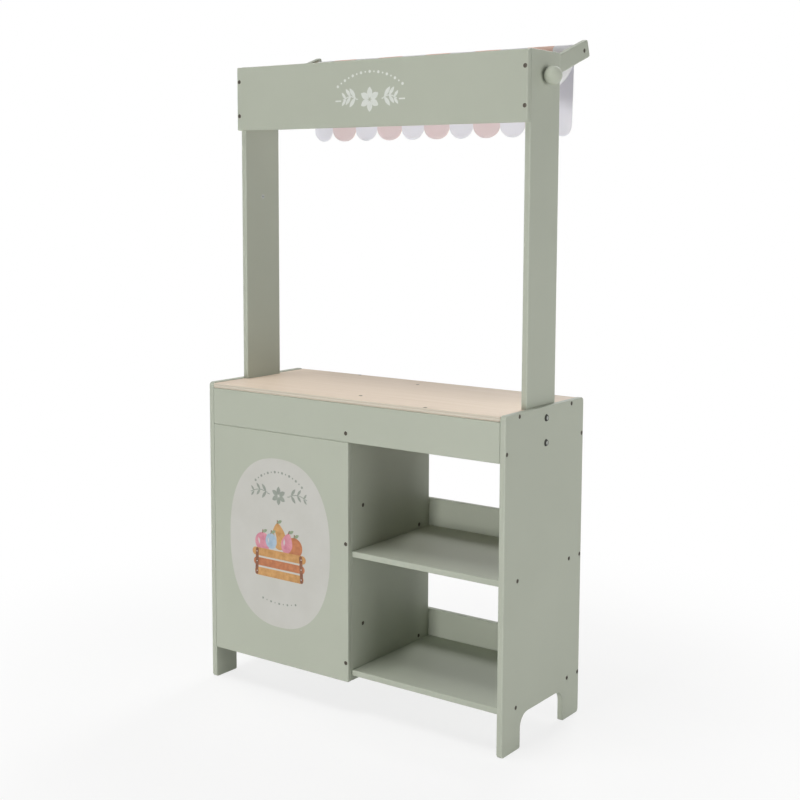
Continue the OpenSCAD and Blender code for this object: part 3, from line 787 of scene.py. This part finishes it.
@dataclass
class AwningCloth:
    """The awning's cloth: a slack canopy, a sleeve round the bar, a scalloped valance, their seams.

    Lengths are millimetres; a grid is columns across and rows along the cloth.
    """

    scallops: int = 11
    end_scallop: float = 37.5
    scallop_depth: float = 20.5
    valance_set: float = 7.0
    scallop_cols: int = 14
    fold_swing: float = 2.0
    fold_waves: int = 5
    ripple_swing: float = 0.45
    ripple_waves: int = 13
    # The valance's free ends curl back: width and depth of the curl, and how sharply it turns.
    left_curl: Triple = (22.0, 6.5, 1.6)
    right_curl: Triple = (11.0, 3.2, 1.3)
    thickness: float = 0.9
    canopy_grid: tuple[int, int] = (88, 44)
    sleeve_grid: tuple[int, int] = (132, 40)
    valance_rows: int = 24
    sleeve_ease: float = 1.0
    wrinkle: float = 0.12
    wrinkle_turns: float = 34.0
    sag: float = 3.0
    canopy_swing: float = 0.7
    canopy_waves: float = 5.5
    seam_set: float = 1.5
    # Handles of the canopy's curve, at the seam and at the hem.
    seam_pull: Pair = (-5.0, 53.0)
    hem_pull: Pair = (4.0, 26.0)
    stitch_mm: float = 3.8
    stitch_size: Pair = (0.55, 1.55)
    # Shares of a stitch's pitch at which its thread comes up and goes down again.
    stitch_span: Pair = (0.18, 0.82)
    edge_inset: float = 4.0
    top_inset: float = 5.0
    end_inset: float = 3.0
    # Shares of the canopy: where its hem's stitches run, and what they leave free at each end.
    hem_line: float = 0.95
    hem_ends: float = 0.006

    def __post_init__(self) -> None:
        """Reads the cloth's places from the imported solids."""
        low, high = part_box("valance_cloth")
        self.width = (high.x - low.x) / MM
        self.valance_top = high.z / MM
        self.valance_joint = low.z / MM + self.scallop_depth
        self.drop = self.valance_top - self.valance_joint + self.scallop_depth
        bar_low, bar_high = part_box("front_bar")
        self.bar_y = (bar_low.y + bar_high.y) / 2 / MM
        self.bar_z = (bar_low.z + bar_high.z) / 2 / MM
        self.bar_r = (bar_high.z - bar_low.z) / 2 / MM
        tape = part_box("header_tape")[1] / MM
        self.hem = Vector((tape.y + self.thickness, tape.z))
        self.valance_y = self.bar_y - self.valance_set
        self.seam = Vector((self.valance_y - self.seam_set, self.valance_top))
        self.scallop = (self.width - 2 * self.end_scallop) / (self.scallops - 2)
        stripes = {"width_mm": self.width, "stripe_mm": self.scallop,
                   "first_stripe_mm": self.end_scallop}
        self.cotton = StripedCotton("cotton_striped", **stripes).make()
        # The reverse is darker than the dyed face as painted shade, and its pink is paler as the
        # dye shows through from one face.
        self.reverse = StripedCotton("cotton_striped_reverse_shaded", white="#DFDFE6", pink="#D8C8C7",
                                     **stripes).make()
        # Round the wooden bar no light comes through, so the sleeve gives all of it back.
        self.backed = StripedCotton("cotton_striped_on_bar", glow=0.0, **stripes).make()
        self.thread = SewingThread().make()

    def sheet(self, name: str, grid: tuple[int, int], place: Callable[[float, float], Vector],
              length: float, outside: Callable[[Vector], Vector]) -> Object:
        """Makes a sheet of cloth from a grid, its dyed face outside and its reverse inside,
        with a paler print and painted shade.

        Args:
            name: the piece's name.
            grid: columns across the cloth and rows along it.
            place: gives a point in millimetres for shares across and along the cloth.
            length: the cloth's cut length in millimetres, for the weave.
            outside: gives the way that the dyed face looks, for a point in metres.

        Returns:
            The sheet, with its thickness as a modifier.
        """
        bm = bmesh.new()
        bmesh.ops.create_grid(bm, x_segments=grid[0], y_segments=grid[1], size=0.5)
        weave = bm.loops.layers.uv.new("cloth")
        spots = {v: (v.co.x + 0.5, v.co.y + 0.5) for v in bm.verts}
        points = {v: place(s, t) for v, (s, t) in spots.items()}
        for face in bm.faces:
            for loop in face.loops:
                loop[weave].uv = (points[loop.vert].x * MM, spots[loop.vert][1] * length * MM)
        for v, p in points.items():
            v.co = p * MM
        bmesh.ops.recalc_face_normals(bm, faces=bm.faces)
        if sum(f.normal.dot(outside(f.calc_center_median())) for f in bm.faces) < 0:
            bmesh.ops.reverse_faces(bm, faces=bm.faces)
        piece = make_piece(bm, name, self.cotton)
        piece.data.materials.append(self.reverse)
        wall = piece.modifiers.new("thickness", "SOLIDIFY")
        wall.thickness = self.thickness * MM
        wall.offset = 0.0
        wall.material_offset = 1
        return piece

    def canopy_point(self, across: float, t: float) -> Vector:
        """Gives a point of the canopy.

        Args:
            across: share of the way across the cloth.
            t: share of the way from the bar's seam to the header's hem.

        Returns:
            The point in millimetres.
        """
        seam, hem = self.seam, self.hem
        a = seam - Vector(self.seam_pull)
        b = hem + Vector((self.hem_pull[0], -self.hem_pull[1]))
        u = 1 - t
        p = u ** 3 * seam + 3 * u * u * t * a + 3 * u * t * t * b + t ** 3 * hem
        side = 2 * across - 1
        slack = sin(pi * t)
        wave = self.canopy_swing * sin(self.canopy_waves * pi * side + 2 * t)
        drape = slack * (self.sag * (1 - side * side) - wave)
        return Vector((side * self.width / 2, p.x, p.y - drape))

    def sleeve_point(self, across: float, t: float) -> Vector:
        """Gives a point of the sleeve.

        Args:
            across: share of the way across the cloth.
            t: share of the way round the bar, from the seam below it.

        Returns:
            The point in millimetres.
        """
        angle = 2 * pi * t - pi / 2
        rise = self.wrinkle * sin(self.wrinkle_turns * across + 3 * sin(angle))
        r = self.bar_r + self.sleeve_ease + rise * (0.4 + 0.6 * sin(pi * t))
        return Vector(((across - 0.5) * self.width, self.bar_y + r * cos(angle),
                       self.bar_z + r * sin(angle)))

    def scallop_at(self, s: float) -> Pair:
        """Gives a point of the scalloped edge.

        Args:
            s: share of the way across the valance, with each scallop an equal share.

        Returns:
            The point's x and how far it hangs below the scallops' joints, in millimetres.
        """
        k = min(int(s * self.scallops + 1e-9), self.scallops - 1)
        turn = pi * (s * self.scallops - k)
        wide = self.end_scallop if k in (0, self.scallops - 1) else self.scallop
        start = -self.width / 2 + (self.end_scallop + (k - 1) * self.scallop if k else 0.0)
        return start + wide * (1 - cos(turn)) / 2, self.scallop_depth * sin(turn)

    def fold(self, x: float, down: float) -> float:
        """Gives how far the valance's folds stand out.

        Args:
            x: place across the valance, in millimetres.
            down: share of the way down it.

        Returns:
            The distance towards the far side, in millimetres.
        """
        broad = self.fold_swing * sin(2 * pi * self.fold_waves * x / self.width)
        small = self.ripple_swing * sin(2 * pi * self.ripple_waves * x / self.width + 0.7)
        curl = 0.0
        for reach, (wide, deep, power) in ((-x, self.left_curl), (x, self.right_curl)):
            curl += deep * (max(reach - (self.width / 2 - wide), 0.0) / wide) ** power
        return down * (broad + small) - down ** 1.5 * curl

    def valance_point(self, s: float, t: float) -> Vector:
        """Gives a point of the valance.

        Args:
            s: share of the way across, with each scallop an equal share.
            t: share of the way from the sewn top to the scalloped edge.

        Returns:
            The point in millimetres.
        """
        x, depth = self.scallop_at(s)
        foot = self.valance_joint - depth
        return Vector((x, self.valance_y + self.fold(x, t),
                       self.valance_top + t * (foot - self.valance_top)))

    def stitches(self, name: str, runs: list[Run], body: Body) -> None:
        """Makes a row of stitches that show on both faces of the cloth.

        Args:
            name: the piece's name.
            runs: start and end of each stitch, in millimetres.
            body: what the row rides on.
        """
        bm = bmesh.new()
        for start, end in runs:
            ball = bmesh.ops.create_uvsphere(bm, u_segments=6, v_segments=4, radius=0.5)["verts"]
            along = end - start
            turned = Matrix.Rotation(atan2(along.x, along.z), 3, "Y")
            bmesh.ops.scale(bm, vec=(*self.stitch_size, along.length), verts=ball)
            bmesh.ops.rotate(bm, cent=(0, 0, 0), matrix=turned, verts=ball)
            bmesh.ops.translate(bm, verts=ball, vec=(start + end) / 2)
        bmesh.ops.scale(bm, vec=(MM, MM, MM), verts=bm.verts)
        piece = make_piece(bm, name, self.thread)
        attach(piece, body.value)

    def level_runs(self, place: Callable[[float], Vector]) -> list[Run]:
        """Gives stitches along a line across the cloth.

        Args:
            place: gives a point in millimetres for a share across the cloth.

        Returns:
            Start and end of each stitch.
        """
        count = int(self.width / self.stitch_mm)
        up, down = self.stitch_span
        return [(place((k + up) / count), place((k + down) / count)) for k in range(count)]

    def scallop_runs(self) -> list[Run]:
        """Gives stitches along the scallops, a little inside their edge.

        Returns:
            Start and end of each stitch.
        """
        runs = []
        inset = self.edge_inset
        for k in range(self.scallops):
            left, right = (self.scallop_at(i / self.scallops)[0] for i in (k, k + 1))
            half, deep = (right - left) / 2 - inset, self.scallop_depth - inset
            count = int(pi * (half + deep) / 2 / self.stitch_mm)
            for i in range(count):
                ends = []
                for share in self.stitch_span:
                    turn = pi * (i + share) / count
                    x = (left + right) / 2 - half * cos(turn)
                    z = self.valance_joint - deep * sin(turn)
                    y = self.valance_y + self.fold(x, (self.valance_top - z) / self.drop)
                    ends.append(Vector((x, y, z)))
                runs.append((ends[0], ends[1]))
        return runs

    def build(self) -> None:
        """Builds the three sheets, their stitches and the hook tape."""
        steps = 60
        line = [self.canopy_point(0.0, i / steps) for i in range(steps + 1)]
        length = sum((b - a).length for a, b in zip(line, line[1:]))
        canopy = self.sheet("awning_canopy", self.canopy_grid, self.canopy_point, length,
                            lambda p: Vector((0, 0, 1)))
        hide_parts("canopy_cloth")
        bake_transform(canopy)

        ring = 2 * pi * (self.bar_r + self.sleeve_ease)
        sleeve = self.sheet("awning_sleeve", self.sleeve_grid, self.sleeve_point, ring,
                            lambda p: p - Vector((p.x, self.bar_y * MM, self.bar_z * MM)))
        sleeve.data.materials[0] = self.backed
        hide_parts("bar_sleeve")
        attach(sleeve, Body.AWNING.value)

        grid = (self.scallops * self.scallop_cols, self.valance_rows)
        valance = self.sheet("awning_valance", grid, self.valance_point, self.drop,
                             lambda p: Vector((0, 1, 0)))
        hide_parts("valance_cloth")
        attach(valance, Body.VALANCE.value)

        self.stitches("valance_top_stitches", self.level_runs(lambda s: Vector((
            (s - 0.5) * (self.width - 2 * self.end_inset),
            self.valance_y + self.fold((s - 0.5) * self.width, 0.05),
            self.valance_top - self.top_inset))), Body.VALANCE)
        self.stitches("valance_edge_stitches", self.scallop_runs(), Body.VALANCE)
        self.stitches("canopy_hem_stitches", self.level_runs(lambda s: self.canopy_point(
            self.hem_ends + (1 - 2 * self.hem_ends) * s, self.hem_line)), Body.STALL)
        self.tape()

    def tape(self) -> None:
        """Builds the hook tape on the header's back."""
        low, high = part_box("header_tape")
        bm = bmesh.new()
        bmesh.ops.create_cube(bm, size=1.0)
        bmesh.ops.scale(bm, vec=high - low, verts=bm.verts)
        bmesh.ops.translate(bm, vec=(low + high) / 2, verts=bm.verts)
        bmesh.ops.bevel(bm, geom=list(bm.edges), offset=0.4 * MM, affect="EDGES", segments=2,
                        profile=0.5, material=-1)
        piece = make_piece(bm, "header_hook_tape", HookTape().make())
        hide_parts("header_tape")
        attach(piece, Body.STALL.value)


def dress_solids() -> None:
    """Gives each solid the finish of its slot; new pieces stand for those of cloth and tape."""
    finishes = {
        Slot.SAGE: SageLacquer(),
        Slot.PLYWOOD: BirchPlywood(),
        Slot.BEECH: TurnedBeech(),
        Slot.DARK_STEEL: PlatedMetal("steel_dark_plated", "#5B564E", "#8B857B", 0.40),
        Slot.ZINC: PlatedMetal("steel_zinc_plated", "#B9BBB8", "#A3A5A2", 0.34),
        Slot.BRASS: PlatedMetal("brass_turned", "#C8A864", "#AA8A4C", 0.36),
    }
    made = {slot.value: finish.make() for slot, finish in finishes.items()}
    bolts = SocketBolts().make()
    for part in frame["record"]["subparts"]:
        node, slot = part["node"], part["material_slot"]
        if slot in made:
            finish = bolts if node == "post_bolts" else made[slot]
            for place in frame["nodes"][node].material_slots:
                place.material = finish
            log.info("%s: %s", node, finish.name)


@dataclass
class Studio:
    """A white studio: floor, lights, world, and the camera at the photograph's viewing angle."""

    camera_at: Triple = (1324.65, -1678.66, 856.24)
    azimuth: float = 35.95
    pitch: float = 6.33
    roll: float = 0.22
    focal_px: float = 1349.88
    image_px: float = 800.0
    horizon_px: float = 340.0
    sensor_mm: float = 36.0
    floor_m: float = 9.0
    paper: str = "#F4F4F3"
    # Where the floor's shadow fades out, in metres, and how bright the paper is in it.
    shadow_m: Pair = (0.45, 1.1)
    shadow_glow: float = 0.8
    # Strength of the surround where it lights and isn't seen.
    surround: float = 0.02
    aim: Triple = (0.0, 0.0, 0.6)
    lamps: tuple[Lamp, ...] = (
        ("front", (-0.1, -3.3, 0.3), (0.5, 0.5), 49.0),
        ("right", (3.1, -0.1, 0.75), (1.8, 1.4), 36.0),
        ("left", (-3.2, 0.4, 1.2), (1.8, 1.8), 28.0),
        ("top", (-0.4, -1.0, 4.3), (1.6, 1.6), 77.0),
        ("rear", (-0.5, 2.8, 2.4), (1.0, 1.0), 41.0),
        ("rear_low", (0.0, 3.4, 0.75), (1.2, 1.2), 26.0),
    )

    def build(self) -> None:
        """Builds everything that isn't part of the stall."""
        self.floor()
        self.world()
        for lamp in self.lamps:
            self.lamp(*lamp)
        self.camera()

    def floor(self) -> None:
        """Lays a white floor that keeps a faint shadow."""
        bm = bmesh.new()
        bmesh.ops.create_grid(bm, x_segments=1, y_segments=1, size=self.floor_m)
        material, tree, shader = start_material("studio_paper_white")
        fill(shader, Base_Color=self.paper, Roughness=0.9)
        rays = add_node(tree, "LightPath")
        seen = add_node(tree, "Math", {"operation": "MAXIMUM"}, n0=rays.outputs["Is Camera Ray"],
                        n1=rays.outputs["Is Glossy Ray"])
        away = add_node(tree, "VectorMath", {"operation": "LENGTH"},
                        n0=add_node(tree, "TexCoord").outputs["Object"])
        fade = add_node(tree, "MapRange", {"interpolation_type": "SMOOTHSTEP"}, Value=away,
                        From_Min=self.shadow_m[0], From_Max=self.shadow_m[1],
                        To_Min=self.shadow_glow)
        share = add_node(tree, "Math", {"operation": "MULTIPLY"}, n0=seen, n1=fade)
        glow = add_node(tree, "Emission")
        mix = add_node(tree, "MixShader", Fac=share, n1=shader, n2=glow)
        fill(tree.nodes["Material Output"], Surface=mix)
        make_piece(bm, "studio_floor", material, smooth=False)

    def world(self) -> None:
        """Sets an even white surround: pure white where it is seen, softer where it lights."""
        world = bpy.data.worlds.new("studio_white")
        scene.world = world
        world.use_nodes = True
        tree = world.node_tree
        rays = add_node(tree, "LightPath")
        seen = add_node(tree, "Math", {"operation": "MAXIMUM"}, n0=rays.outputs["Is Camera Ray"],
                        n1=rays.outputs["Is Transmission Ray"])
        shown = add_node(tree, "Math", {"operation": "MAXIMUM"}, n0=seen,
                         n1=rays.outputs["Is Glossy Ray"])
        level = add_node(tree, "MapRange", Value=shown, To_Min=self.surround)
        fill(tree.nodes["Background"], Color=(1, 1, 1, 1), Strength=level)

    def lamp(self, name: str, at: Triple, size: Pair, watts: float) -> None:
        """Hangs a softbox that faces the stall.

        Args:
            name: the lamp's name.
            at: its place in metres.
            size: its width and height in metres.
            watts: its power.
        """
        light = bpy.data.lights.new(f"softbox_{name}", "AREA")
        light.shape = "RECTANGLE"
        light.size, light.size_y = size
        light.energy = watts
        lamp = bpy.data.objects.new(light.name, light)
        lamp.location = at
        ahead = Vector(self.aim) - Vector(at)
        lamp.rotation_euler = ahead.to_track_quat("-Z", "Y").to_euler()
        scene.collection.objects.link(lamp)

    def camera(self) -> None:
        """Sets the camera from the photograph's vanishing lines."""
        a, e, r = (radians(x) for x in (self.azimuth, self.pitch, self.roll))
        right = Vector((cos(a), sin(a), 0))
        ahead = Vector((-sin(a) * cos(e), cos(a) * cos(e), -sin(e)))
        up = right.cross(ahead)
        side = cos(r) * right + sin(r) * up
        top = cos(r) * up - sin(r) * right
        lens = bpy.data.cameras.new("photo_camera")
        lens.sensor_width = self.sensor_mm
        lens.lens = self.focal_px / self.image_px * self.sensor_mm
        lens.shift_y = self.horizon_px / self.image_px - 0.5
        camera = bpy.data.objects.new("photo_camera", lens)
        turn = Matrix((side, top, -ahead)).transposed().to_4x4()
        face = Vector((0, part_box("front_panel")[0].y, 0))
        camera.matrix_world = Matrix.Translation(Vector(self.camera_at) * MM + face) @ turn
        scene.collection.objects.link(camera)
        scene.camera = camera
        scene.view_settings.view_transform = "Standard"


def main() -> None:
    """Builds the studio and dresses the stall, piece by piece."""
    logging.basicConfig(level=logging.INFO, format="%(name)s: %(message)s")
    Studio().build()
    dress_solids()
    AwningCloth().build()
    OvalSign().build()
    HeaderEmblem().build()


if __name__ == "__main__":
    main()
